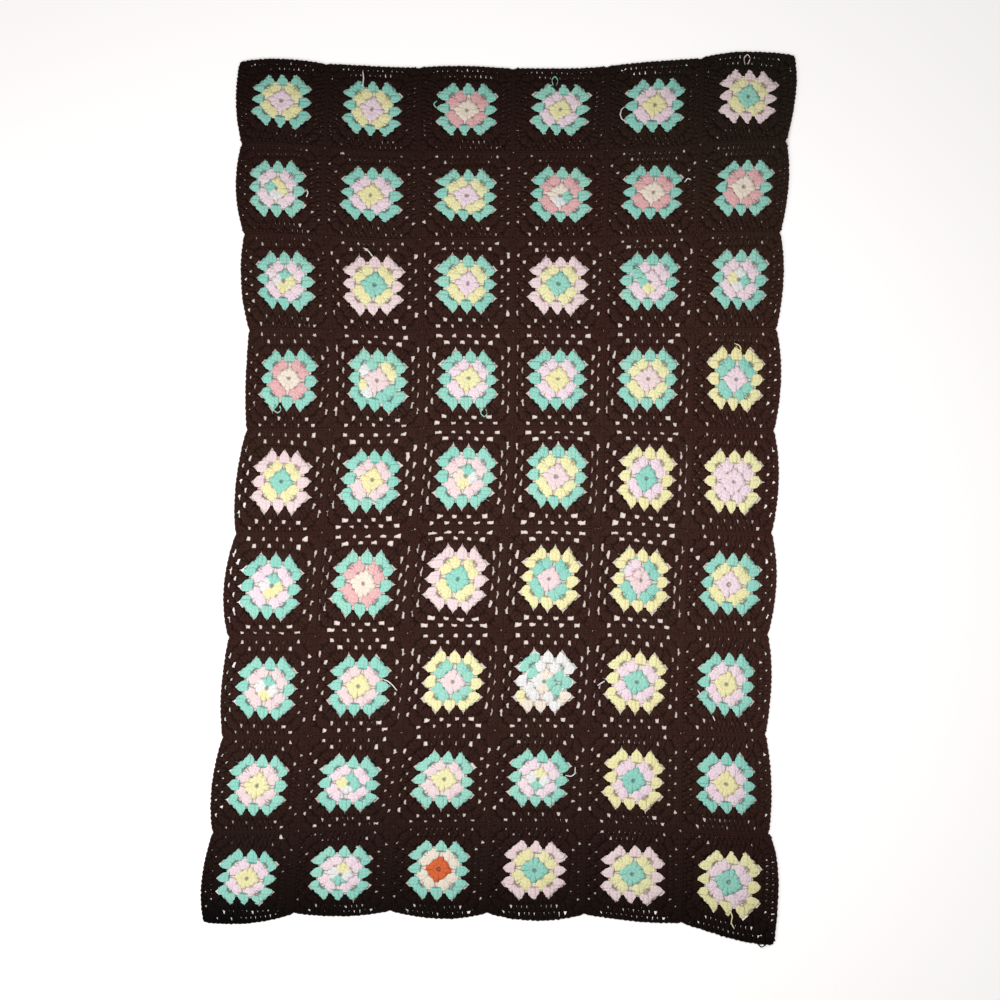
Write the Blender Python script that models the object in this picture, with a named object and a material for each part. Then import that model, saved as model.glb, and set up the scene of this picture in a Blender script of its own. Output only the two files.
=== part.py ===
"""Granny square blanket, laid flat: one crocheted cloth of nine rows of six squares.

The cloth lies on the plane z = 0, with its long side along Y and its first row of
squares at +Y. Its outline bulges at each square and is drawn in at each join, and its
upper face swells a little over each square. The stitches themselves aren't modelled.
All sizes are in metres, apart from the tables, which are in millimetres.
"""

from collections import namedtuple

import bmesh
import bpy

MM = 0.001

# Thickness of the crocheted cloth, in metres.
JOIN_THICKNESS = 4.5 * MM
MIDDLE_THICKNESS = 5.5 * MM

# One line for each row of squares, in millimetres: how far the cloth reaches to the left
# and right at that row, and where the centres of its first and last squares lie, and the
# point halfway between them, since the rows bow a little.
Row = namedtuple("Row", "left right first_x middle_x last_x first_y middle_y last_y")
ROWS = (
    Row(-540, 605, -450, 25, 510, 815, 795, 825),
    Row(-540, 590, -460, 25, 500, 635, 620, 640),
    Row(-530, 580, -445, 25, 490, 445, 440, 450),
    Row(-520, 575, -435, 25, 485, 245, 245, 245),
    Row(-540, 570, -450, 20, 480, 35, 45, 35),
    Row(-565, 565, -470, 5, 470, -180, -165, -175),
    Row(-570, 555, -480, -5, 465, -390, -375, -380),
    Row(-590, 555, -500, -20, 465, -590, -575, -585),
    Row(-610, 570, -520, -30, 470, -780, -760, -785),
)

# One line for each column of squares, in millimetres: how far up and down the cloth
# reaches there.
Column = namedtuple("Column", "top bottom")
COLUMNS = (
    Column(900, -870),
    Column(885, -855),
    Column(885, -860),
    Column(880, -865),
    Column(895, -865),
    Column(915, -900),
)

# The four corners of the cloth, and how deep a join draws each side in, in millimetres.
CORNERS = {
    "top_left": (-533, 893),
    "top_right": (602, 908),
    "bottom_left": (-606, -868),
    "bottom_right": (560, -915),
}
LEFT_NOTCH = 12
RIGHT_NOTCH = 12
TOP_NOTCH = 3
BOTTOM_NOTCH = 14

# Facets along each side of one square.
FACETS = 4

YARN_BROWN = (0.042, 0.019, 0.015, 1.0)


def between(first, middle, last, share):
    """The value at a share from 0 to 1 along the parabola through three values."""
    bow = middle - (first + last) / 2
    return first + (last - first) * share + 4 * bow * share * (1 - share)


def average(*points):
    """The point halfway between two points, or in the middle of four."""
    return tuple(sum(values) / len(points) for values in zip(*points))


def square_centres():
    """The centre of every square, as centres[row][column]."""
    last = len(COLUMNS) - 1
    return [
        [
            (
                between(row.first_x, row.middle_x, row.last_x, column / last),
                between(row.first_y, row.middle_y, row.last_y, column / last),
            )
            for column in range(len(COLUMNS))
        ]
        for row in ROWS
    ]


def side_points(row, column, centres):
    """The points where the cloth's own sides cross the middle of an outer square."""
    x, y = centres[row][column]
    return {
        "left": (ROWS[row].left, y),
        "right": (ROWS[row].right, y),
        "top": (x, COLUMNS[column].top),
        "bottom": (x, COLUMNS[column].bottom),
    }


def build_net():
    """The net that the squares hang on.

    net[i][j] is a point in millimetres. Odd i and j are the squares' centres, and even
    ones are the joins between them or the cloth's own sides.
    """
    centres = square_centres()
    last_i, last_j = 2 * len(ROWS), 2 * len(COLUMNS)
    net = [[None] * (last_j + 1) for _ in range(last_i + 1)]
    for row, line in enumerate(centres):
        for column, centre in enumerate(line):
            net[2 * row + 1][2 * column + 1] = centre
    for row in range(len(ROWS)):
        i = 2 * row + 1
        net[i][0] = side_points(row, 0, centres)["left"]
        net[i][last_j] = side_points(row, -1, centres)["right"]
        for j in range(2, last_j, 2):
            net[i][j] = average(net[i][j - 1], net[i][j + 1])
    for column in range(len(COLUMNS)):
        j = 2 * column + 1
        net[0][j] = side_points(0, column, centres)["top"]
        net[last_i][j] = side_points(-1, column, centres)["bottom"]
    for i in range(2, last_i, 2):
        for j in range(last_j + 1):
            net[i][j] = average(net[i - 1][j], net[i + 1][j])
        net[i][0] = (net[i][0][0] + LEFT_NOTCH, net[i][0][1])
        net[i][last_j] = (net[i][last_j][0] - RIGHT_NOTCH, net[i][last_j][1])
    for j in range(2, last_j, 2):
        x, y = average(net[0][j - 1], net[0][j + 1])
        net[0][j] = (x, y - TOP_NOTCH)
        x, y = average(net[last_i][j - 1], net[last_i][j + 1])
        net[last_i][j] = (x, y + BOTTOM_NOTCH)
    net[0][0] = CORNERS["top_left"]
    net[0][last_j] = CORNERS["top_right"]
    net[last_i][0] = CORNERS["bottom_left"]
    net[last_i][last_j] = CORNERS["bottom_right"]
    return net


def weights(t):
    """How much the points at -1, 0 and 1 count at t, on the parabola through them."""
    return (t * (t - 1) / 2, 1 - t * t, t * (t + 1) / 2)


def place(net, across, down):
    """The place in metres of a point counted in squares from the top left corner, with its
    position inside its own square, from -1 to 1 each way."""
    row = min(int(down), len(ROWS) - 1)
    column = min(int(across), len(COLUMNS) - 1)
    u = 2 * (across - column) - 1
    v = 2 * (down - row) - 1
    x = y = 0.0
    for i, along_v in enumerate(weights(v)):
        for j, along_u in enumerate(weights(u)):
            point = net[2 * row + i][2 * column + j]
            x += along_v * along_u * point[0]
            y += along_v * along_u * point[1]
    return x * MM, y * MM, u, v


def swell(u, v):
    """The cloth's thickness at a place in a square: it is fullest in the middle."""
    return JOIN_THICKNESS + (MIDDLE_THICKNESS - JOIN_THICKNESS) * (1 - u * u) * (1 - v * v)


def add_face_grid(bm, net, is_top):
    """One face of the cloth as a grid laid on the net: the upper one or the flat lower one."""
    wide, long = len(COLUMNS), len(ROWS)
    grid = bmesh.ops.create_grid(
        bm, x_segments=wide * FACETS, y_segments=long * FACETS, size=1.0
    )
    for vert in grid["verts"]:
        across = (vert.co.x + 1) / 2 * wide
        down = (1 - vert.co.y) / 2 * long
        snapped = (round(across * FACETS) / FACETS, round(down * FACETS) / FACETS)
        x, y, u, v = place(net, *snapped)
        vert.co = (x, y, swell(u, v) if is_top else 0.0)
    return grid["verts"]


def yarn_material():
    """Dark brown wool yarn."""
    material = bpy.data.materials.new("brown_yarn")
    material.use_nodes = True
    shader = material.node_tree.nodes["Principled BSDF"]
    shader.inputs["Base Color"].default_value = YARN_BROWN
    shader.inputs["Roughness"].default_value = 0.95
    shader.inputs["Metallic"].default_value = 0.0
    return material


def build_blanket():
    """The whole cloth as one closed solid: two laid grids and the rim that joins them."""
    net = build_net()
    bm = bmesh.new()
    add_face_grid(bm, net, is_top=True)
    add_face_grid(bm, net, is_top=False)
    rims = [edge for edge in bm.edges if edge.is_boundary]
    bmesh.ops.bridge_loops(bm, edges=rims)
    bmesh.ops.recalc_face_normals(bm, faces=bm.faces)
    mesh = bpy.data.meshes.new("blanket")
    bm.to_mesh(mesh)
    bm.free()
    mesh.materials.append(yarn_material())
    blanket = bpy.data.objects.new("blanket", mesh)
    bpy.context.collection.objects.link(blanket)
    return blanket


def main():
    for old in list(bpy.data.objects):
        bpy.data.objects.remove(old)
    build_blanket()


main()
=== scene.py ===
"""Granny square blanket, laid flat, in yarn.

Every square is crocheted stitch by stitch: six rounds of three-stitch clusters, each
stitch a soft tube of yarn, with the chain of loops along the top of each round. The
squares hang on the same net as the solid cloth that they stand for, so the blanket's
sides bulge at each square and are drawn in at each join. Metres, +Z up.
"""

import math
from collections import namedtuple

import bpy
import numpy as np
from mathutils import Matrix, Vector


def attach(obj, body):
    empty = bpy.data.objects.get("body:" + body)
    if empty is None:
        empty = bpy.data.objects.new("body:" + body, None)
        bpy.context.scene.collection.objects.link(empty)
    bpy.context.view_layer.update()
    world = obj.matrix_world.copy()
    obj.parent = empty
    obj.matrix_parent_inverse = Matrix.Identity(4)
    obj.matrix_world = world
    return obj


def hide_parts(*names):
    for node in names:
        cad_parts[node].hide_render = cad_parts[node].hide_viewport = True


MM = 0.001
SEED = 54

# ---------------------------------------------------------------- the laid cloth

# One line for each row of squares, in millimetres: how far the cloth reaches to the left
# and right at that row, and where the centres of its first and last squares lie, and the
# point halfway between them. open is how far the gaps between clusters stand open there.
Row = namedtuple("Row", "left right first_x middle_x last_x first_y middle_y last_y open")
ROWS = (
    Row(-540, 605, -450, 25, 510, 815, 795, 825, 0.0),
    Row(-540, 590, -460, 25, 500, 635, 620, 640, 0.32),
    Row(-530, 580, -445, 25, 490, 445, 440, 450, 0.62),
    Row(-520, 575, -435, 25, 485, 245, 245, 245, 0.8),
    Row(-540, 570, -450, 20, 480, 35, 45, 35, 1.0),
    Row(-565, 565, -470, 5, 470, -180, -165, -175, 1.1),
    Row(-570, 555, -480, -5, 465, -390, -375, -380, 0.78),
    Row(-590, 555, -500, -20, 465, -590, -575, -585, 0.55),
    Row(-610, 570, -520, -30, 470, -780, -760, -785, 0.3),
)

# One line for each column of squares: how far up and down the cloth reaches there, how
# much more or less its gaps stand open, and how far right and up its centres are moved.
Column = namedtuple("Column", "top bottom open right up")
COLUMNS = (
    Column(900, -870, 0.85, 2, 1),
    Column(885, -855, 1.1, -1, -3),
    Column(885, -860, 1.25, 3, 1),
    Column(880, -865, 1.1, 2, 0),
    Column(895, -865, 1.0, 3, 0),
    Column(915, -900, 0.55, -1, -1),
)

# The cloth's corners, and how deep a join draws each side in, in millimetres.
TOP_LEFT, TOP_RIGHT = (-533, 893), (602, 908)
BOTTOM_LEFT, BOTTOM_RIGHT = (-606, -868), (560, -915)
LEFT_NOTCH, RIGHT_NOTCH, TOP_NOTCH, BOTTOM_NOTCH = 12, 12, 3, 14


def between(first, middle, last, share):
    """The value at a share from 0 to 1 along the parabola through three values."""
    bow = middle - (first + last) / 2
    return first + (last - first) * share + 4 * bow * share * (1 - share)


def build_net():
    """The points that the squares hang on, in metres: odd places are centres of squares,
    and even ones are the joins or the cloth's own sides."""
    net = np.zeros((2 * len(ROWS) + 1, 2 * len(COLUMNS) + 1, 2))
    share = np.linspace(0, 1, len(COLUMNS))
    for row, line in enumerate(ROWS):
        net[2 * row + 1, 1::2, 0] = between(line.first_x, line.middle_x, line.last_x, share)
        net[2 * row + 1, 1::2, 1] = between(line.first_y, line.middle_y, line.last_y, share)
    net[1::2, 1::2] += [(column.right, column.up) for column in COLUMNS]
    net[1::2, 2:-1:2] = (net[1::2, 1:-2:2] + net[1::2, 3::2]) / 2
    net[1::2, 0, 0] = [line.left for line in ROWS]
    net[1::2, -1, 0] = [line.right for line in ROWS]
    net[1::2, 0, 1], net[1::2, -1, 1] = net[1::2, 1, 1], net[1::2, -2, 1]
    net[0, 1::2, 0], net[-1, 1::2, 0] = net[1, 1::2, 0], net[-2, 1::2, 0]
    net[0, 1::2, 1] = [column.top for column in COLUMNS]
    net[-1, 1::2, 1] = [column.bottom for column in COLUMNS]
    net[2:-1:2] = (net[1:-2:2] + net[3::2]) / 2
    net[2:-1:2, 0, 0] += LEFT_NOTCH
    net[2:-1:2, -1, 0] -= RIGHT_NOTCH
    for end, notch in ((0, -TOP_NOTCH), (-1, BOTTOM_NOTCH)):
        net[end, 2:-1:2] = (net[end, 1:-2:2] + net[end, 3::2]) / 2
        net[end, 2:-1:2, 1] += notch
    net[0, 0], net[0, -1], net[-1, 0], net[-1, -1] = TOP_LEFT, TOP_RIGHT, BOTTOM_LEFT, BOTTOM_RIGHT
    return net * MM


def lay(net, row, column, flat, height):
    """Points of one square, from -1 to 1 across and up it, laid on the net at a height."""
    def parabola(t):
        return np.stack([t * (t - 1) / 2, 1 - t * t, t * (t + 1) / 2], -1)

    across, down = parabola(flat[..., 0]), parabola(-flat[..., 1])
    nine = net[2 * row:2 * row + 3, 2 * column:2 * column + 3]
    spot = np.einsum("...i,...j,ijk->...k", down, across, nine)
    return np.concatenate([spot, np.broadcast_to(height, flat.shape[:-1])[..., None]], -1)


# ---------------------------------------------------------------- tubes of yarn

# Tubes with the same number of points: the lines that they follow, their half widths across
# the cloth and half heights, how many sides they have, whether each closes on itself, and
# the number of the yarn of each.
Tubes = namedtuple("Tubes", "points wide thick sides closed yarn")

# What keeps a length from being nothing, and how much of an open tube's own bend its rings
# turn with.
TINY, OWN_BEND = 1e-12, 0.5


def sweep(tubes):
    """The rings of corners round each tube's line. An open tube's rings turn only partly
    with its line, so that they don't pinch at a bend."""
    line = tubes.points
    ahead, behind = np.roll(line, -1, 1), np.roll(line, 1, 1)
    if not tubes.closed:
        ahead[:, -1], behind[:, 0] = line[:, -1], line[:, 0]
    run = ahead - behind
    run /= np.linalg.norm(run, axis=-1, keepdims=True) + TINY
    level = run * (1, 1, 0)
    if not tubes.closed:
        whole = (line[:, -1:] - line[:, :1]) * (1, 1, 0)
        whole /= np.linalg.norm(whole, axis=-1, keepdims=True) + TINY
        level = level * OWN_BEND + whole
    level /= np.linalg.norm(level, axis=-1, keepdims=True) + TINY
    side = np.stack([-level[..., 1], level[..., 0], 0 * level[..., 0]], -1)
    up = np.cross(run, side)
    up /= np.linalg.norm(up, axis=-1, keepdims=True) + TINY
    turn = 2 * np.pi * (np.arange(tubes.sides) / tubes.sides + tubes.sides % 2 / 4)
    sizes = (tubes.wide, tubes.thick)
    wide, thick = (np.broadcast_to(size, line.shape[:2])[..., None, None] for size in sizes)
    across = side[:, :, None] * wide * np.cos(turn)[:, None]
    return line[:, :, None] + across + up[:, :, None] * thick * np.sin(turn)[:, None]


# How a piece's unit square is shared out: what closed tubes take where there are open ones
# too, and the least that is left for open ones.
STRIPS_SHARE, LEAST_SHARE = 0.8, 0.01

# How one tube fills its own patch: the margin, how long its side is, how high it is on closed
# and open tubes and how much less of that it takes, and where an open tube's two round ends
# lie above it, and their size.
PATCH_EDGE, PATCH_LENGTH, PATCH_CLOSED, PATCH_OPEN, PATCH_GAP = 0.03, 0.94, 0.94, 0.74, 0.05
FIRST_END, LAST_END, END_ROW, END_RADIUS = 0.25, 0.75, 0.86, 0.09


def own_patch(groups):
    """A patch of the unit square for every tube of a piece: its corner and its size. Closed
    tubes get long strips, and open ones small squares."""
    closed = sum(len(tubes.points) for tubes in groups if tubes.closed)
    opened = sum(len(tubes.points) for tubes in groups if not tubes.closed)
    floor = 0 if not closed else STRIPS_SHARE if opened else 1
    across = max(1, math.ceil(math.sqrt(opened / max(1 - floor, LEAST_SHARE))))
    high = (1 - floor) / max(1, math.ceil(opened / across))
    strip = box = 0
    patches = []
    for tubes in groups:
        number = np.arange(len(tubes.points))
        if tubes.closed:
            spot = np.stack([0 * number, (strip + number) * floor / closed], -1)
            size, strip = (1, floor / closed), strip + len(number)
        else:
            place = box + number
            spot = np.stack([place % across / across, floor + place // across * high], -1)
            size, box = (1 / across, high), box + len(number)
        patches.append((spot, np.array(size)))
    return patches


def side_map(tubes, steps, sides):
    """Where the corners of every face on the tubes' sides lie along the yarn, in metres, and
    round it, from 0 to 1, with each tube's whole length."""
    count = len(tubes.points)
    hop = np.linalg.norm(np.diff(tubes.points, axis=1, append=tubes.points[:, :1]), axis=-1)
    travelled = np.concatenate([np.zeros((count, 1)), np.cumsum(hop, 1)], 1)
    first, last = travelled[:, :steps, None], travelled[:, 1:steps + 1, None]
    low, high = np.arange(sides) / sides, (np.arange(sides) + 1) / sides
    full = (count, steps, sides)
    spots = [np.stack([np.broadcast_to(part, full) for part in pair], -1)
             for pair in ((first, low), (first, high), (last, high), (last, low))]
    return np.stack(spots, -2), travelled[:, steps]


def patch_of_side(on_yarn, whole, closed, spot, size):
    """The same corners in the tubes' own patches."""
    high = (PATCH_CLOSED if closed else PATCH_OPEN) - PATCH_GAP
    along = on_yarn[..., 0] / whole[:, None, None, None] * PATCH_LENGTH + PATCH_EDGE
    around = on_yarn[..., 1] * high + PATCH_EDGE
    return spot[:, None, None, None] + np.stack([along, around], -1) * size


def yarn_mesh(name, groups, materials):
    """One mesh from groups of tubes. Its map named yarn runs along the yarn in metres and
    round it from 0 to 1, and its map named OFBake gives each tube a patch of its own."""
    corners, faces, slots, yarn_map, patch_map = [], [], [], [], []
    start = 0
    for tubes, (spot, size) in zip(groups, own_patch(groups)):
        rings = sweep(tubes)
        count, length, sides = rings.shape[:3]
        corners.append(rings.reshape(-1, 3))
        index = start + np.arange(count * length * sides).reshape(count, length, sides)
        start += index.size
        steps = length if tubes.closed else length - 1
        near, far = index[:, :steps], np.roll(index, -1, 1)[:, :steps]
        quads = np.stack([near, np.roll(near, -1, 2), np.roll(far, -1, 2), far], -1)
        faces += quads.reshape(-1, 4).tolist()
        on_yarn, whole = side_map(tubes, steps, sides)
        yarn_map.append(on_yarn.reshape(-1, 2))
        patch_map.append(patch_of_side(on_yarn, whole, tubes.closed, spot, size).reshape(-1, 2))
        yarn = np.broadcast_to(tubes.yarn, count)
        slots.append(np.repeat(yarn, steps * sides))
        if not tubes.closed:
            turn = 2 * np.pi * np.arange(sides) / sides
            ring = np.stack([np.cos(turn), np.sin(turn)], -1) * END_RADIUS
            for cap, middle in ((index[:, 0, ::-1], FIRST_END), (index[:, -1], LAST_END)):
                faces += cap.tolist()
                slots.append(yarn)
                yarn_map.append(np.zeros((count * sides, 2)))
                patch_map.append((spot[:, None] + (ring + (middle, END_ROW)) * size).reshape(-1, 2))
    mesh = bpy.data.meshes.new(name)
    mesh.from_pydata(np.concatenate(corners).tolist(), [], faces)
    for material in materials:
        mesh.materials.append(material)
    mesh.polygons.foreach_set("material_index", np.concatenate(slots).astype(np.int32))
    mesh.polygons.foreach_set("use_smooth", np.ones(len(faces), bool))
    for layer_name, parts in (("yarn", yarn_map), ("OFBake", patch_map)):
        layer = mesh.uv_layers.new(name=layer_name, do_init=False)
        layer.uv.foreach_set("vector", np.concatenate(parts).astype(np.float32).ravel())
    mesh.update()
    piece = bpy.data.objects.new(name, mesh)
    bpy.context.collection.objects.link(piece)
    return piece


# ---------------------------------------------------------------- one granny square

STITCHES = 3

# The six rounds, in half squares from the middle: how far each reaches at the middle of a
# side and at its corners, and how straight its sides are (2 is round). bow is how far short
# the outer stitches of a cluster fall, root how deep its stitches start under the round
# before, and foot and head how far the outer stitches of a cluster stand from its middle
# one there and at the top. wide is a stitch's half width in half squares, and thick its half
# thickness in millimetres. spread says how soon the outer stitches part on their way from
# foot to head, and full how full every stitch is on that way.
Round = namedtuple("Round", "reach corner straight bow root foot head wide thick spread full")
ROUNDS = (
    Round(0.268, 0.175, 2.0, 0.028, 0.000, 0.020, 0.105, 0.056, 1.6,
          spread=(0, 0.2, 0.5, 0.85, 1), full=(0.5, 0.65, 0.9, 1.15, 1.1)),
    Round(0.435, 0.345, 3.0, 0.015, 0.050, 0.020, 0.082, 0.058, 1.6,
          spread=(0, 0.1, 0.5, 0.85, 1), full=(0.5, 0.75, 1, 1, 0.9)),
    Round(0.622, 0.492, 5.0, 0.030, 0.065, 0.045, 0.078, 0.056, 1.6,
          spread=(0, 0.5, 1, 1, 0.75), full=(0.6, 0.85, 1, 1, 0.85)),
    Round(0.735, 0.665, 6.0, 0.000, 0.105, 0.010, 0.107, 0.062, 1.4,
          spread=(0, 0.0, 0.42, 0.85, 1), full=(0.4, 0.7, 0.95, 0.95, 0.9)),
    Round(0.862, 0.825, 8.0, 0.000, 0.030, 0.058, 0.107, 0.062, 1.4,
          spread=(0, 0.0, 0.98, 1), full=(0.6, 0.9, 1, 0.9)),
    Round(0.979, 0.976, 10.0, 0.000, 0.030, 0.058, 0.106, 0.062, 1.4,
          spread=(0, 0.0, 0.98, 1), full=(0.6, 0.9, 1, 0.9)),
)

# The first brown round, which hooks into the last coloured one. Its gaps and those of the
# two plain rounds after it stand open by row and column, and the coloured ones' don't.
HOOKED = 4

# How wide the chain at a corner is, in clusters, and how far out along a round its stitches
# may stand, as a share of its half side.
CORNER_CHAIN, LAST_HEAD = 0.25, 0.96

# Where the corner clusters start, for each round but the last: how far inside the corner of
# that round, and how far they stand apart from its diagonal. CORNER_FEET is how close
# together their feet are next to other clusters', and CLOSED_ROOT how much deeper the
# hooked round's feet reach where the cloth is drawn closed.
CORNER_ROOTS = (0.022, 0.0, 0.015, 0.03, 0.03)
CORNER_SHIFTS = (0.022, 0.040, 0.055, 0.055, 0.055)
CORNER_FEET, CLOSED_ROOT = 0.55, 0.05

# The ring that the first round is worked into, and the angle between stitches there.
RING, RING_STEP = 0.017, math.radians(30)

# How far the middle rounds of a square are drawn in from above and below, in half squares;
# how far its stitches lean clockwise at the radius TWIST_FROM, and over what distance that
# fades; the spread of the lean from square to square; and the squares that lean more, by
# row and column, both counted from 0.
SQUAT = 0.012
TWIST, TWIST_FROM, TWIST_FADE, TWIST_SPREAD = math.radians(13), 0.19, 0.31, (0.7, 1.3)
TWISTED = {(0, 3): 1.4, (0, 5): 1.5, (8, 5): 1.9}

# The random pull on a square: how many waves it has, how tight they are, how far apart they
# start, how far each moves a stitch, and how sharply they die out at the joins.
PULLS, PULL_WAVE, PULL_START, PULL, PULL_EDGE = 4, 4.5, 3, 0.013, 4

# What single stitches stray by: their feet and heads in half squares, their height in
# millimetres and their fullness as a share; and the spread of the gaps' openness.
FOOT_STRAY, HEAD_STRAY, HEIGHT_STRAY, FULL_STRAY = 0.006, 0.004, 0.1, 0.04
OPEN_SPREAD = (0.7, 1.3)

# Where the rings of a stitch lie along it, from 0 to 1, on the upper and lower sides of a
# square, and beside them on its left and right, how high it is at each ring, in
# millimetres, and how many sides its tube has.
Stitch = namedtuple("Stitch", "along beside height sides")
PLAIN_STITCH = Stitch((0, 0.73, 0.89, 1), (0, 0.64, 0.86, 1), (2.4, 3.3, 2.6, 2.2), 5)
HOOKED_STITCH = Stitch((0, 0.26, 0.51, 0.75, 1), (0, 0.36, 0.61, 0.82, 1), (3.2, 4.0, 3.6, 2.8, 2.3), 5)
BUD_STITCH = Stitch((0, 0.12, 0.38, 0.72, 1), (0, 0.12, 0.38, 0.72, 1), (2.8, 3.4, 3.7, 3.7, 3.3), 6)
FULL_STITCH = Stitch((0, 0.12, 0.38, 0.72, 1), (0, 0.12, 0.38, 0.72, 1), (3.0, 3.5, 3.1, 2.6, 2.3), 6)
KINDS = (BUD_STITCH, FULL_STITCH, FULL_STITCH, HOOKED_STITCH, PLAIN_STITCH, PLAIN_STITCH)

# CROWN is how much lower the outer stitches of a cluster lie, in millimetres. The slims
# multiply the distance between a cluster's feet: on the left and right sides, where the
# cloth is pulled lengthwise, and on the plain rounds' upper and lower sides. CLOSED_SWELL
# is how much fuller the stitches are where the cloth is drawn closed.
CROWN, BESIDE_SLIM, PLAIN_SLIM, CLOSED_SWELL = 0.45, 0.80, 1.22, 0.08

# Which of a square's four sides, clockwise from the upper one, lie on its left or right.
BESIDE = np.array([0, 1, 0, 1])

# The loop across each corner of a round: where its rings lie from its start, a little under
# the corner of the round before, to its end, a little short of its own corner; how high, in
# millimetres, and how full it is there; how full it may be in all; how much slimmer it is in
# the second round; how much fuller where the cloth is drawn closed; and how many sides it
# has.
LOOP_RINGS, LOOP_START, LOOP_END = (0, 0.4, 1), 0.01, 0.015
LOOP_HEIGHT, LOOP_FULL, LOOP_FULLEST = (1.7, 2.4, 2.1), (0.7, 1.1, 0.95), 1.15
SECOND_LOOP, CLOSED_CORNER, CLOSED_LOOP = 0.6, 0.5, np.array([0, 1, 1])
LOOP_SIDES = 5

# The chain along the top of a round, fat over each stitch and thin between: how high it lies
# and how much lower it is at the ends of a cluster, where the next round is worked over it,
# in the last round and the others, its half widths at fat and thin places, all in
# millimetres; how much fatter it is in the last round, and thinner at a cluster's ends in
# the others; how wide and how thick it is for its size; how far it bends in there, in bows
# of its round; how far it zigzags and strays, in half squares; and how many sides it has.
CHAIN_SPOTS = 2 * STITCHES
CHAIN_HEIGHT, LAST_SUNK, CHAIN_SUNK, CHAIN_STEP = 3.2, 0.3, 1.8, 0.2
CHAIN_FAT, CHAIN_THIN, LAST_FATTER, SUNK_THINNER = 2.3, 1.9, 1.2, 0.35
CHAIN_WIDE, CHAIN_THICK = 1.15, 0.85
CHAIN_BOW, CHAIN_ZIGZAG, CHAIN_STRAY, CHAIN_SIDES = 2.5, 0.004, 0.003, 5


def pitch(number):
    """How much of half a side one cluster takes up in a round, counted from 1."""
    return 2 / (number + CORNER_CHAIN)


def on_round(number, share):
    """The top of a round on the upper side of the square, for shares from -1 to 1."""
    line = ROUNDS[number - 1]
    share = np.asarray(share, float)
    drop = (line.reach - line.corner) * np.abs(share) ** line.straight
    return np.stack([share * line.corner, line.reach - drop], -1)


def quarter_turns(points):
    """The same points on all four sides, clockwise from the upper one."""
    x, y = points[..., 0], points[..., 1]
    return np.stack([np.stack(side, -1) for side in ((x, y), (y, -x), (-x, -y), (-y, x))])


def cluster_middles(number):
    return (np.arange(number) - (number - 1) / 2) * pitch(number)


def stitch_heads(number):
    """Where the stitches of the upper side end, cluster by cluster."""
    line = ROUNDS[number - 1]
    step = (np.arange(STITCHES) - 1) * line.head / line.corner
    shares = cluster_middles(number)[:, None] + step
    heads = on_round(number, np.clip(shares, -LAST_HEAD, LAST_HEAD))
    heads[..., 1] -= line.bow * (1 - np.eye(STITCHES)[STITCHES // 2])
    return heads


def stitch_feet(number, openness):
    """Where the same stitches start, on one side: in the gaps and corners of the round
    before. Openness says how far each cluster's feet draw together."""
    step = np.arange(STITCHES) - 1
    if number == 1:
        turn = step * RING_STEP
        return RING * np.stack([np.sin(turn), np.cos(turn)], -1)[None]
    line, before = ROUNDS[number - 1], number - 1
    together = openness if number > HOOKED else np.ones_like(openness)
    foot = line.head - (line.head - line.foot) * together
    root = line.root + (CLOSED_ROOT * max(0, 1 - openness.mean()) if number == HOOKED else 0)
    feet = []
    for cluster in range(number):
        if cluster in (0, number - 1):
            hand = -1 if cluster == 0 else 1
            loop = np.array([1, -hand]) / math.sqrt(2)
            corner = ROUNDS[before - 1].corner - CORNER_ROOTS[before - 1]
            spot = np.array([hand * corner, corner]) - hand * CORNER_SHIFTS[before - 1] * loop
            feet.append(spot + step[:, None] * foot[cluster] * CORNER_FEET * loop)
        else:
            spot = on_round(before, (cluster - before / 2) * pitch(before)) - (0, root)
            feet.append(spot + step[:, None] * (foot[cluster], 0))
    return np.array(feet)


def swirl(points, amount):
    """Turn the middle of the square clockwise, as the stitches lean."""
    radius = np.linalg.norm(points, axis=-1)
    turn = -TWIST * amount * np.exp(-(radius - TWIST_FROM) / TWIST_FADE)
    x, y = points[..., 0], points[..., 1]
    return np.stack([x * np.cos(turn) - y * np.sin(turn), x * np.sin(turn) + y * np.cos(turn)], -1)


def unevenness(rng):
    """A gentle random pull on one square, none at its middle or its joins."""
    pulls = rng.uniform(-1, 1, (PULLS, 6))

    def pull(points):
        moved = np.zeros_like(points)
        for across, up, *starts in pulls:
            wave = PULL_WAVE * across * points[..., 0] + PULL_WAVE * up * points[..., 1]
            for axis, (one, two) in enumerate((starts[:2], starts[2:])):
                here = np.sin(wave + PULL_START * one + PULL_START * two)
                at_middle = np.sin(PULL_START * one + PULL_START * two)
                moved[..., axis] += PULL * (here - at_middle)
        edge = np.abs(points).max(-1, keepdims=True)
        return points + moved * (1 - np.clip(edge, 0, 1) ** PULL_EDGE)

    return pull


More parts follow.
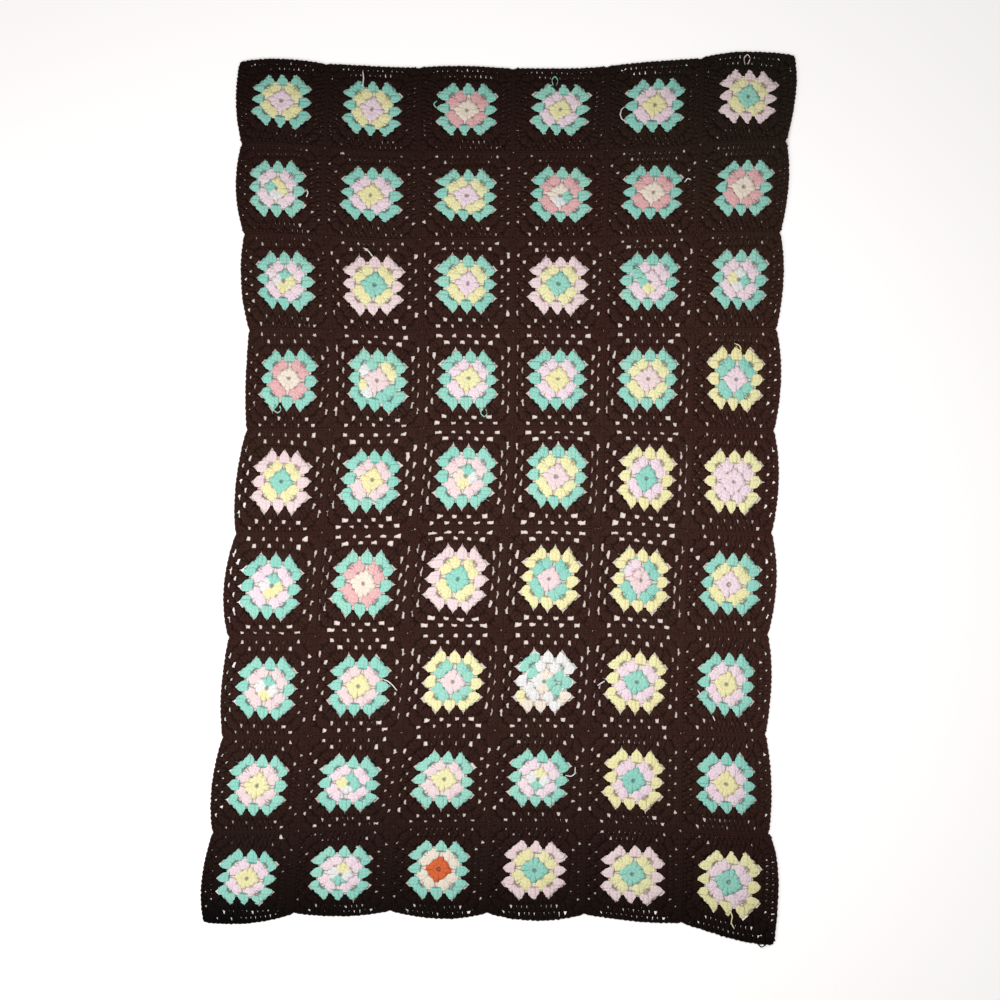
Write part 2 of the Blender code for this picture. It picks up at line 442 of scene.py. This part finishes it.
def round_of_stitches(number, shape, openness, span, rng, colours):
    """Every stitch of a round, from its foot to its head, in clusters of three."""
    line = ROUNDS[number - 1]
    kind = KINDS[number - 1]
    draw = openness * rng.uniform(*OPEN_SPREAD, (4, number))
    closing = np.clip(1 - draw, 0, 1) if number >= HOOKED else 0 * draw
    foot = np.stack([quarter_turns(stitch_feet(number, own))[side] for side, own in enumerate(draw)])
    head = quarter_turns(stitch_heads(number))
    middle_foot, middle_head = foot[:, :, 1:2, None], head[:, :, 1:2, None]
    own_foot, own_head = foot[:, :, :, None] - middle_foot, head[:, :, :, None] - middle_head
    spread = np.array(line.spread) + np.zeros((4, number, 1, 1))
    last_apart = -2 if number == HOOKED else 1
    step_apart = spread[..., last_apart + 1] - spread[..., last_apart]
    spread[..., last_apart] += closing[..., None] * step_apart
    spread = spread[..., None]
    beside = BESIDE[:, None, None, None, None]
    run = np.where(beside, np.array(kind.beside)[:, None], np.array(kind.along)[:, None])
    slim = np.where(beside, BESIDE_SLIM, PLAIN_SLIM if number > HOOKED else 1)
    slim = slim + (1 - slim) * closing[..., None, None, None]
    middle = middle_foot + (middle_head - middle_foot) * run
    flat = middle + own_foot * (1 - spread) * slim + own_head * spread
    strayed = rng.normal(0, FOOT_STRAY, (4, number, 1, 1, 2)) * (1 - np.array(line.spread)[:, None])
    flat = (flat + strayed).reshape(-1, len(kind.along), 2)
    flat = flat + rng.normal(0, HEAD_STRAY, (len(flat), 1, 2)) * np.array(kind.along)[None, :, None]
    lower = np.tile(np.abs(np.arange(STITCHES) - 1) * CROWN, 4 * number)[:, None]
    height = (np.array(kind.height) - lower + rng.normal(0, HEIGHT_STRAY, (len(flat), 1))) * MM
    tight = 1 + CLOSED_SWELL * np.repeat(closing.ravel(), STITCHES)[:, None]
    swell = rng.normal(1, FULL_STRAY, (len(flat), 1)) * np.array(line.full) * tight * MM
    wide = line.wide * swell / MM * span[np.repeat(BESIDE, number * STITCHES)[:, None]]
    colour = np.repeat(colours, STITCHES)
    return shape(flat), height, wide, line.thick * swell, kind.sides, False, colour


def corner_loops(number, shape, openness, span, colours):
    """The loop across each corner of a round, between its two clusters there."""
    line, inner = ROUNDS[number - 1], ROUNDS[number - 2].corner - LOOP_START
    spots = inner + (line.corner - LOOP_END - inner) * np.array(LOOP_RINGS)
    corner = quarter_turns(np.stack([spots, spots], -1))
    closed = CLOSED_CORNER * max(0, 1 - openness) if number >= HOOKED else 0
    full = np.array([LOOP_FULL + closed * CLOSED_LOOP] * 4) * (SECOND_LOOP if number == 2 else 1)
    height = np.array([LOOP_HEIGHT]) * MM
    wide = full * line.wide * span.mean()
    thick = np.minimum(full, LOOP_FULLEST) * line.thick * MM
    colour = np.array([colours[(side + 1) * number - 1] for side in range(4)])
    return shape(corner), height, wide, thick, LOOP_SIDES, False, colour


def chain_of_loops(number, shape, rng, colours):
    """The loops along the top of a round: one over each stitch, sunk under the next round."""
    own = (np.arange(CHAIN_SPOTS) - (CHAIN_SPOTS - 1) / 2) * pitch(number) / CHAIN_SPOTS
    shares = np.sort((cluster_middles(number)[:, None] + own).ravel())
    shares = np.append(shares, 1)
    flat = quarter_turns(on_round(number, shares)).reshape(-1, 2)
    steps = CHAIN_SPOTS * number + 1
    spot = np.arange(steps)
    fat = np.tile((spot % 2 == 0) & (spot < steps - 1), 4)
    half = (CHAIN_SPOTS - 1) / 2
    from_middle = np.abs(spot % CHAIN_SPOTS - half) / half
    sunk = np.tile(np.where(spot == steps - 1, 1.0, from_middle), 4)
    inward = flat / np.abs(flat).max(-1, keepdims=True) * CHAIN_BOW
    flat = flat - inward * ROUNDS[number - 1].bow * sunk[:, None]
    last = number == len(ROUNDS)
    lift = np.where(fat, CHAIN_STEP, -CHAIN_STEP)
    height = CHAIN_HEIGHT - (LAST_SUNK if last else CHAIN_SUNK) * sunk + lift
    out = flat / np.linalg.norm(flat, axis=-1, keepdims=True)
    zigzag = out * np.where(fat, CHAIN_ZIGZAG, -CHAIN_ZIGZAG)[:, None]
    flat = flat + zigzag + rng.normal(0, CHAIN_STRAY, flat.shape)
    fuller = LAST_FATTER if last else 1 - SUNK_THINNER * sunk
    size = np.where(fat, CHAIN_FAT, CHAIN_THIN) * MM * fuller
    wide, thick = size[None] * CHAIN_WIDE, size[None] * CHAIN_THICK
    colour = np.bincount(colours).argmax()
    return shape(flat)[None], height[None] * MM, wide, thick, CHAIN_SIDES, True, colour


def build_square(net, row, column, rng, yarns, materials):
    """One square: its stitches, and the chains along the tops of its rounds."""
    pull, twist = unevenness(rng), rng.uniform(*TWIST_SPREAD) * TWISTED.get((row, column), 1)
    stitches, chains = [], []
    nine = net[2 * row:2 * row + 3, 2 * column:2 * column + 3]
    span = np.array([nine[1, 2, 0] - nine[1, 0, 0], nine[0, 1, 1] - nine[2, 1, 1]]) / 2
    openness = ROWS[row].open * COLUMNS[column].open

    def shape(flat):
        x, y = np.moveaxis(swirl(pull(flat), twist), -1, 0)
        return np.stack([x, y - SQUAT * np.sin(np.pi * y)], -1)

    for number in range(1, len(ROUNDS) + 1):
        colours = yarns[number - 1]
        stitches.append(round_of_stitches(number, shape, openness, span, rng, colours))
        chains.append(chain_of_loops(number, shape, rng, colours))
        if number > 1:
            chains.append(corner_loops(number, shape, openness, span, colours))
    pieces = []
    for name, parts in (("stitches", stitches), ("tops", chains)):
        groups = [Tubes(lay(net, row, column, part[0], part[1]), *part[2:]) for part in parts]
        pieces.append(yarn_mesh(f"{name}_{row + 1}_{column + 1}", groups, materials))
    return pieces


# ---------------------------------------------------------------- the joins

# How many stitches sew one side of a square to the next, how far each reaches over the join
# and how far it leans along it, and what it strays by, in half squares.
JOIN_STITCHES, JOIN_REACH, JOIN_LEAN, JOIN_STRAY = 27, 0.045, 0.02, 0.006

# How high a stitch lies at its ends and middle, what that strays by, and how thick it is
# there, in millimetres; how much wider it is than thick, and how many sides it has.
JOIN_HEIGHT, JOIN_HEIGHT_STRAY = (2.8, 3.5, 2.8), 0.15
JOIN_THICK, JOIN_FULL, JOIN_WIDE, JOIN_SIDES = 1.9, (0.7, 1, 0.7), 1.25, 4


def build_joins(net, rng, material):
    """Slanted stitches that draw the squares together, along every join."""
    rows, columns = len(ROWS), len(COLUMNS)
    over = np.array([-1, 0, 1])
    step = (np.arange(JOIN_STITCHES) + 0.5) / JOIN_STITCHES * 2 - 1
    along = step[:, None] + over * JOIN_LEAN
    across = np.broadcast_to(1 + over * JOIN_REACH, along.shape)
    beside, below = np.stack([across, along], -1), np.stack([along, -across], -1)
    groups = []
    for row in range(rows):
        for column in range(columns):
            for seam, sewn in ((beside, column < columns - 1), (below, row < rows - 1)):
                if not sewn:
                    continue
                flat = seam + rng.normal(0, JOIN_STRAY, (len(seam), 1, 2))
                stray = rng.normal(0, JOIN_HEIGHT_STRAY, (len(seam), 1)) * MM
                height = np.array([JOIN_HEIGHT]) * MM + stray
                size = np.full((len(seam), 3), JOIN_THICK * MM) * JOIN_FULL
                spot = lay(net, row, column, flat, height)
                groups.append(Tubes(spot, size * JOIN_WIDE, size, JOIN_SIDES, False, 0))
    return yarn_mesh("joins", groups, [material])


# ---------------------------------------------------------------- loose ends

# Ends of yarn that have worked loose: their yarn, and the points that they pass through, in
# millimetres from the middle of the blanket.
End = namedtuple("End", "yarn points")
ENDS = (
    End("W", ((-281, 876), (-279, 860), (-281, 844))),
    End("A", ((109, 846), (106, 858), (113, 865), (119, 856), (116, 846))),
    End("L", ((502, 889), (499, 902), (507, 910), (513, 902), (508, 890))),
    End("W", ((256, 803), (249, 797), (246, 786), (250, 776), (257, 774))),
    End("A", ((-129, 815), (-136, 808), (-131, 800))),
    End("W", ((-396, 634), (-393, 626), (-396, 618))),
    End("W", ((378, 648), (385, 656), (391, 653))),
    End("W", ((-280, 514), (-270, 508), (-261, 496))),
    End("A", ((-460, 192), (-464, 181), (-455, 175), (-448, 181), (-451, 190))),
    End("A", ((-42, 186), (-39, 173), (-32, 167), (-26, 173), (-29, 184))),
    End("Y", ((480, 318), (491, 313), (494, 304), (489, 297))),
    End("W", ((-273, -1), (-262, -7), (-250, -12))),
    End("P", ((270, -150), (276, -144), (287, -147), (290, -157), (283, -166),
              (273, -165), (268, -157), (274, -150))),
    End("W", ((-240, -370), (-229, -374), (-219, -383), (-211, -393))),
    End("W", ((200, -383), (207, -378), (214, -374))),
    End("L", ((405, -392), (410, -401), (417, -396))),
    End("L", ((436, -445), (440, -455))),
    End("W", ((134, -567), (146, -569), (154, -563), (154, -550))),
    End("W", ((125, -724), (132, -729), (128, -736))),
    End("Y", ((471, -843), (476, -856), (473, -869), (480, -881))),
    End("B", ((526, -910), (535, -919), (544, -914))),
)

# How thick an end is and how high it lies, how high its waves are, and how far it starts
# down in the cloth, in millimetres; how many rings it has from point to point, and how
# many sides; and how tight its waves are and how soon it comes up, by the point.
END_THICKNESS, END_HEIGHT, END_WAVE, END_SUNK = 2.6, 6.3, 0.8, 2.5
END_RINGS, END_SIDES, END_WAVES, END_RISE = 4, 6, 1.7, 3


def build_ends(materials):
    """The short tails of yarn that lie on the cloth."""
    groups = []
    for end in ENDS:
        corner = np.array(end.points, float)
        steps = END_RINGS * (len(corner) - 1) + 1
        at = np.linspace(0, len(corner) - 1, steps)
        line = [np.interp(at, range(len(corner)), corner[:, axis]) for axis in (0, 1)]
        line = np.stack(line, -1)
        line[1:-1] = (line[:-2] + 2 * line[1:-1] + line[2:]) / 4
        height = END_HEIGHT + END_WAVE * np.sin(at * END_WAVES) - END_SUNK * np.exp(-at * END_RISE)
        points = np.concatenate([line, height[:, None]], -1)[None] * MM
        size = np.full((1, steps), END_THICKNESS / 2 * MM)
        yarn = list(YARNS).index(end.yarn)
        groups.append(Tubes(points, size, size, END_SIDES, False, yarn))
    return yarn_mesh("loose_ends", groups, materials)


# ---------------------------------------------------------------- yarns

# Each yarn's colour, the colour between its plies, which paints shade in the grooves and at the
# stitches' feet, and one that it drifts to, from 0 to 255; and how much painted falloff of the
# light darkens it towards the upper and lower ends of the blanket.
Yarn = namedtuple("Yarn", "name colour shade tint fade")
YARNS = {
    "B": Yarn("brown_yarn", (66, 37, 31), (34, 18, 15), (67, 43, 34), 0.74),
    "A": Yarn("aqua_yarn", (174, 229, 211), (116, 188, 168), (148, 218, 204), 0.12),
    "Y": Yarn("yellow_yarn", (252, 248, 196), (218, 208, 150), (250, 240, 182), 0.12),
    "L": Yarn("lilac_yarn", (255, 236, 241), (222, 190, 204), (250, 226, 236), 0.12),
    "P": Yarn("pale_pink_yarn", (252, 231, 231), (222, 190, 193), (246, 221, 222), 0.12),
    "S": Yarn("salmon_yarn", (243, 197, 195), (218, 148, 154), (237, 184, 184), 0.12),
    "C": Yarn("cream_yarn", (253, 241, 226), (224, 208, 184), (248, 233, 216), 0.12),
    "W": Yarn("white_yarn", (250, 249, 246), (212, 210, 208), (240, 238, 238), 0.12),
    "O": Yarn("rust_yarn", (240, 120, 68), (176, 72, 38), (224, 106, 62), 0.12),
}

# The first three rounds of each square. A round in several yarns has a letter for each
# side, or for each cluster, clockwise from the upper left.
CHART = (
    "L-Y-A L-Y-A C-S-A Y-L-A Y-L-A A-Y-P",
    "YYWA-L-A Y-L-A L-Y-A CAWC-S-A C-S-A C-S-A",
    "AYYW-L-A A-Y-P L-Y-A A-Y-P LLYA-LLLLLLLA-A WAWY-L-A",
    "C-S-A P-AYYAAWYW-A Y-L-A Y-L-A P-Y-A L-A-Y",
    "A-Y-P Y-P-A AWYC-P-A P-Y-A A-L-Y L-L-Y",
    "AYYW-L-A C-S-A A-Y-P P-A-Y P-LAAAAAAL-Y L-Y-A",
    "AWYW-P-A Y-P-A P-A-Y CACW-WWAAWWWA-AWWWACWCCYWA A-L-Y Y-L-A",
    "Y-P-A AAWY-L-A Y-P-A YWAW-L-A A-L-Y Y-L-A",
    "Y-L-A YWAW-L-A O-C-A A-Y-P A-Y-P A-L-Y",
)


def linear(colour):
    """A colour from 0 to 255 as the light it stands for, by the sRGB curve."""
    shares = [value / 255 for value in colour]
    return [s / 12.92 if s <= 0.04045 else ((s + 0.055) / 1.055) ** 2.4 for s in shares]


class Signal:
    """What comes out of a node's socket, written with Python's own arithmetic."""

    def __init__(self, socket):
        self.socket = socket
        self.tree = socket.id_data

    def maths(self, operation, *terms):
        return make(self.tree, "ShaderNodeMath", {"operation": operation}, dict(enumerate(terms)))

    def __add__(self, other):
        return self.maths("ADD", self, other)

    def __radd__(self, other):
        return self.maths("ADD", other, self)

    def __sub__(self, other):
        return self.maths("SUBTRACT", self, other)

    def __rsub__(self, other):
        return self.maths("SUBTRACT", other, self)

    def __mul__(self, other):
        return self.maths("MULTIPLY", self, other)

    def __rmul__(self, other):
        return self.maths("MULTIPLY", other, self)

    def __pow__(self, other):
        return self.maths("POWER", self, other)

    def __abs__(self):
        return self.maths("ABSOLUTE", self)

    def sine(self):
        return self.maths("SINE", self)

    def clamped(self):
        return self.maths("MAXIMUM", self.maths("MINIMUM", self, 1.0), 0.0)


def make(tree, kind, settings, inputs, output=0):
    """One node: its settings first, then the values or links of its sockets."""
    node = tree.nodes.new(kind)
    for name, value in settings.items():
        setattr(node, name, value)
    for name, value in inputs.items():
        if isinstance(value, Signal):
            tree.links.new(value.socket, node.inputs[name])
        else:
            node.inputs[name].default_value = value
    return Signal(node.outputs[output])


def blend(tree, share, first, second):
    """A colour between two, by a share."""
    sockets = {0: share, 6: first, 7: second}
    return make(tree, "ShaderNodeMix", {"data_type": "RGBA"}, sockets, output=2)


# The yarn's plies: how far one turn runs along it, in metres, how many there are, how much
# their twist wanders, and how soft the groove between them is.
PLY_LENGTH, PLIES, PLY_WANDER, GROOVE_SOFT = 0.0085, 2, 2.0, 0.6

# The scale and detail of the fibres, of the patches of dye and of the slow drift over the
# cloth, and how strong the last two are.
FIBRES, PATCHES, DRIFTS = (900, 2), (70, 3), (4.5, 2)
DYE_STRENGTH, DRIFT_STRENGTH = 2.4, 5

# How much of the second colour drift and dye bring, and how much of the dark one the painted
# shade in the grooves and the fibres bring.
DRIFT_TINT, DYE_TINT, GROOVE_DARK, FIBRE_DARK = 0.55, 0.3, 0.4, 0.3

# A stitch's foot is painted in shade: how long that painted shade is, in metres, how strong,
# and how dark next to the colour between the plies.
FOOT_SHADE, FOOT_STRENGTH, FOOT_DARK = 0.005, 0.85, 0.45

# The painted falloff of the light: where up the blanket, in metres, the yarn is brightest, and
# how far from there it takes on the whole of its painted darkening; and where across it is
# brightest, and how much of its painted darkening it takes on with every metre to the left of there.
FALLOFF_FROM, FALLOFF_REACH, FALLOFF_SIDE, FALLOFF_ACROSS = 0.05, 0.9, 0.6, 0.25

# The brown yarn turns olive towards the upper right corner: the colour, where it is
# strongest and how far it reaches, in metres, and how strong it is there.
OLIVE, OLIVE_X, OLIVE_Y, OLIVE_REACH, OLIVE_TINT = (52, 46, 33), 0.58, 0.90, 0.62, 0.9

# The relief of plies and fibres, its height in metres, and the dull finish of soft wool.
BUMP, BUMP_HEIGHT, FIBRE_BUMP = 0.5, 0.0008, 0.5
WOOL_ROUGHNESS, WOOL_SPECULAR = 0.92, 0.12


def yarn_material(name, colour, shade, tint, light_falloff):
    """Soft plied yarn: the plies' twist, loose fibres, and wool that takes dye unevenly, with painted
    shade in the grooves between the plies and at each stitch's foot, and a painted falloff of the
    light that darkens it towards the blanket's upper and lower ends and its left side.
    """
    material = bpy.data.materials.new(name)
    material.use_nodes = True
    tree = material.node_tree
    shader = tree.nodes["Principled BSDF"]
    place = make(tree, "ShaderNodeNewGeometry", {}, {}, "Position")
    yarn = make(tree, "ShaderNodeUVMap", {"uv_map": "yarn"}, {})
    along, around = (make(tree, "ShaderNodeSeparateXYZ", {}, {0: yarn}, axis) for axis in "XY")
    across, up = (make(tree, "ShaderNodeSeparateXYZ", {}, {0: place}, axis) for axis in "XY")

    def noise(scale, detail):
        inputs = {"Vector": place, "Scale": scale, "Detail": detail}
        return make(tree, "ShaderNodeTexNoise", {}, inputs, "Fac")

    fibre, patch, broad = noise(*FIBRES), noise(*PATCHES), noise(*DRIFTS)
    turns = along * (2 * math.pi / PLY_LENGTH) + around * (2 * math.pi * PLIES)
    twist = ((turns + patch * PLY_WANDER).sine() + 1) * 0.5
    groove = twist ** GROOVE_SOFT
    dye = ((patch - 0.5) * DYE_STRENGTH + 0.5).clamped()
    drift = ((broad - 0.5) * DRIFT_STRENGTH + 0.5).clamped()
    base, dark, other = (*linear(colour), 1), (*linear(shade), 1), (*linear(tint), 1)
    tinted = blend(tree, drift * DRIFT_TINT + dye * DYE_TINT, base, other)
    if name == "brown_yarn":
        worn = abs(across - OLIVE_X) * (1 / OLIVE_REACH) + abs(up - OLIVE_Y) * (1 / OLIVE_REACH)
        tinted = blend(tree, (1 - worn).clamped() * OLIVE_TINT, tinted, (*linear(OLIVE), 1))
    # Painted shade in the grooves between the plies, with the fibres' random tone.
    plied = blend(tree, (1 - groove) * GROOVE_DARK + (fibre - 0.5) * FIBRE_DARK, tinted, dark)
    # Painted shade at each stitch's foot, darkest where the stitch starts.
    foot = (1 - along * (1 / FOOT_SHADE)).clamped() * FOOT_STRENGTH
    foot_shaded = blend(tree, foot, plied, (*[value * FOOT_DARK for value in dark[:3]], 1))
    # Painted falloff of the light: the yarn is painted darker towards the blanket's upper and lower ends
    # and its left side.
    away = abs(up - FALLOFF_FROM) * (1 / FALLOFF_REACH)
    falloff_share = (away * away * away * light_falloff + (FALLOFF_SIDE - across) * (light_falloff * FALLOFF_ACROSS)).clamped()
    falloff_shaded = blend(tree, falloff_share, foot_shaded, (0, 0, 0, 1))
    tree.links.new(falloff_shaded.socket, shader.inputs["Base Color"])
    relief = {"Strength": BUMP, "Distance": BUMP_HEIGHT, "Height": groove + fibre * FIBRE_BUMP}
    bump = make(tree, "ShaderNodeBump", {}, relief, "Normal")
    tree.links.new(bump.socket, shader.inputs["Normal"])
    shader.inputs["Roughness"].default_value = WOOL_ROUGHNESS
    shader.inputs["Specular IOR Level"].default_value = WOOL_SPECULAR
    return material


def chart_square(row, column, letters):
    """The yarn of every cluster, round by round, clockwise from the upper side."""
    rounds = []
    for number, word in enumerate(CHART[row].split()[column].split("-"), 1):
        each = word * 4 if len(word) == 1 else word
        numbers = [letters.index(letter) for letter in each]
        rounds.append(np.repeat(numbers, 4 * number // len(each)))
    for number in range(len(rounds) + 1, len(ROUNDS) + 1):
        rounds.append(np.zeros(4 * number, int))
    return rounds


# ---------------------------------------------------------------- stage

FLOOR_SIZE, FLOOR_ROUGHNESS = 8, 0.8

# The floor that the cloth shades, painted as a darker patch, in metres: half its width, how
# that grows with the square of the distance up or down, half its height, where its middle lies
# across and up, how it leans to the right as it goes up, and the share of its size where it
# starts to end.
SHADE_WIDTH, SHADE_WIDENING, SHADE_HEIGHT = 0.535, 0.05, 0.86
SHADE_ASIDE, SHADE_UP, SHADE_LEAN, SHADE_EDGE = 0.012, 0.012, 0.033, 0.975

# A gap in the cloth is painted dark where it is narrow, a painted shade found by ambient
# occlusion: how far round a place on the floor yarn shades it, in metres, how open the place is
# where it is darkest and where it is lit, and how finely that is measured.
GAP_REACH, GAP_DARK, GAP_LIT, GAP_SAMPLES = 0.006, 0.05, 0.35, 4

# The floor in a narrow gap, under the cloth and beside it: its colour, painted darker in the
# gaps and under the cloth, and its own light, a painted glow that shows through the gaps,
# fainter in narrow gaps and under the cloth.
FLOOR_COLOURS = ((0.20, 0.16, 0.14, 1), (0.66, 0.575, 0.535, 1), (0.72, 0.70, 0.69, 1))
FLOOR_LIGHTS = ((0.06, 0.048, 0.04, 1), (0.25, 0.214, 0.192, 1), (0.50, 0.49, 0.485, 1))

# The soft lamps: where each is and what it faces, in metres, and its width and power.
Lamp = namedtuple("Lamp", "name spot aim size power")
LAMPS = (
    Lamp("left_box", (-1.5, -0.7, 1.2), (0, -0.05, 0), 0.8, 17),
    Lamp("over", (0.05, -0.1, 1.4), (0.05, -0.1, 0), 0.8, 12),
)
STUDIO_LIGHT = 0.32

# The camera's lens and sensor, in millimetres; and, in metres, how wide a view it takes of
# the floor, how far up from the middle of the blanket it stands, and how far it sees.
LENS, SENSOR, VIEW_WIDTH, CAMERA_Y, SIGHT = 85, 36, 2.05, -0.003, 50


def floor_material():
    """A pale floor with a painted glow, painted less bright and tinted where the blanket keeps the
    light off it, and painted darker still in narrow gaps.
    """
    material = bpy.data.materials.new("pale_floor")
    material.use_nodes = True
    tree = material.node_tree
    spot = make(tree, "ShaderNodeTexCoord", {}, {}, output="Object")
    across, up = (make(tree, "ShaderNodeSeparateXYZ", {}, {0: spot}, output=axis) for axis in "XY")
    aside = abs(across - up * SHADE_LEAN - SHADE_ASIDE) - up * up * SHADE_WIDENING
    out = aside.maths("MAXIMUM", aside * (1 / SHADE_WIDTH), abs(up - SHADE_UP) * (1 / SHADE_HEIGHT))
    past = make(tree, "ShaderNodeMapRange", {"interpolation_type": "SMOOTHSTEP"},
                {"Value": out, "From Min": SHADE_EDGE, "From Max": 1.0})
    sky = make(tree, "ShaderNodeAmbientOcclusion", {"samples": GAP_SAMPLES},
               {"Distance": GAP_REACH}, output="AO")
    lit = make(tree, "ShaderNodeMapRange", {}, {"Value": sky, "From Min": GAP_DARK, "From Max": GAP_LIT})
    shader = tree.nodes["Principled BSDF"]
    for socket, colours in (("Base Color", FLOOR_COLOURS), ("Emission Color", FLOOR_LIGHTS)):
        deep, under, beside = colours
        gaps = blend(tree, lit, deep, under)
        tree.links.new(blend(tree, past, gaps, beside).socket, shader.inputs[socket])
    shader.inputs["Roughness"].default_value = FLOOR_ROUGHNESS
    shader.inputs["Emission Strength"].default_value = 1
    return material


def stage():
    """The floor, the studio's light and a camera straight above the blanket."""
    bpy.ops.mesh.primitive_plane_add(size=FLOOR_SIZE, location=(0, 0, 0))
    floor = bpy.context.object
    floor.name = "floor"
    floor.data.materials.append(floor_material())
    world = bpy.data.worlds.new("studio")
    world.use_nodes = True
    world.node_tree.nodes["Background"].inputs["Color"].default_value = (1, 1, 1, 1)
    world.node_tree.nodes["Background"].inputs["Strength"].default_value = STUDIO_LIGHT
    bpy.context.scene.world = world
    for lamp in LAMPS:
        light = bpy.data.lights.new(lamp.name, "AREA")
        light.size = lamp.size
        light.energy = lamp.power
        box = bpy.data.objects.new(lamp.name, light)
        box.location = lamp.spot
        box.visible_camera = False
        aim = Vector(lamp.aim) - Vector(lamp.spot)
        box.rotation_euler = aim.to_track_quat("-Z", "Y").to_euler()
        bpy.context.collection.objects.link(box)
    camera = bpy.data.cameras.new("camera")
    camera.lens = LENS
    camera.clip_end = SIGHT
    eye = bpy.data.objects.new("camera", camera)
    eye.location = (0, CAMERA_Y, VIEW_WIDTH * LENS / SENSOR)
    bpy.context.collection.objects.link(eye)
    bpy.context.scene.camera = eye
    bpy.context.scene.view_settings.view_transform = "Standard"


# ---------------------------------------------------------------- the blanket

def put_in_place(piece):
    """Every piece is part of the one cloth."""
    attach(piece, "root")
    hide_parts("blanket")


def main():
    net = build_net()
    letters = list(YARNS)
    materials = [yarn_material(*yarn) for yarn in YARNS.values()]
    rng = np.random.default_rng(SEED)
    for row in range(len(ROWS)):
        for column in range(len(COLUMNS)):
            yarns = chart_square(row, column, letters)
            square, tops = build_square(net, row, column, rng, yarns, materials)
            put_in_place(square)
            put_in_place(tops)
    for piece in (build_joins(net, rng, materials[0]), build_ends(materials)):
        put_in_place(piece)
    stage()


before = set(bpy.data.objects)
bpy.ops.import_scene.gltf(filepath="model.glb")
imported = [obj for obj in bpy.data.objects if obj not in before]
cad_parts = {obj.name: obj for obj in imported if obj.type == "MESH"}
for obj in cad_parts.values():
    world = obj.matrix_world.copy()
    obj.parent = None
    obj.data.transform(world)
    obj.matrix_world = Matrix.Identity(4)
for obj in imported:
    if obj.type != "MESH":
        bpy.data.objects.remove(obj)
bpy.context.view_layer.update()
main()
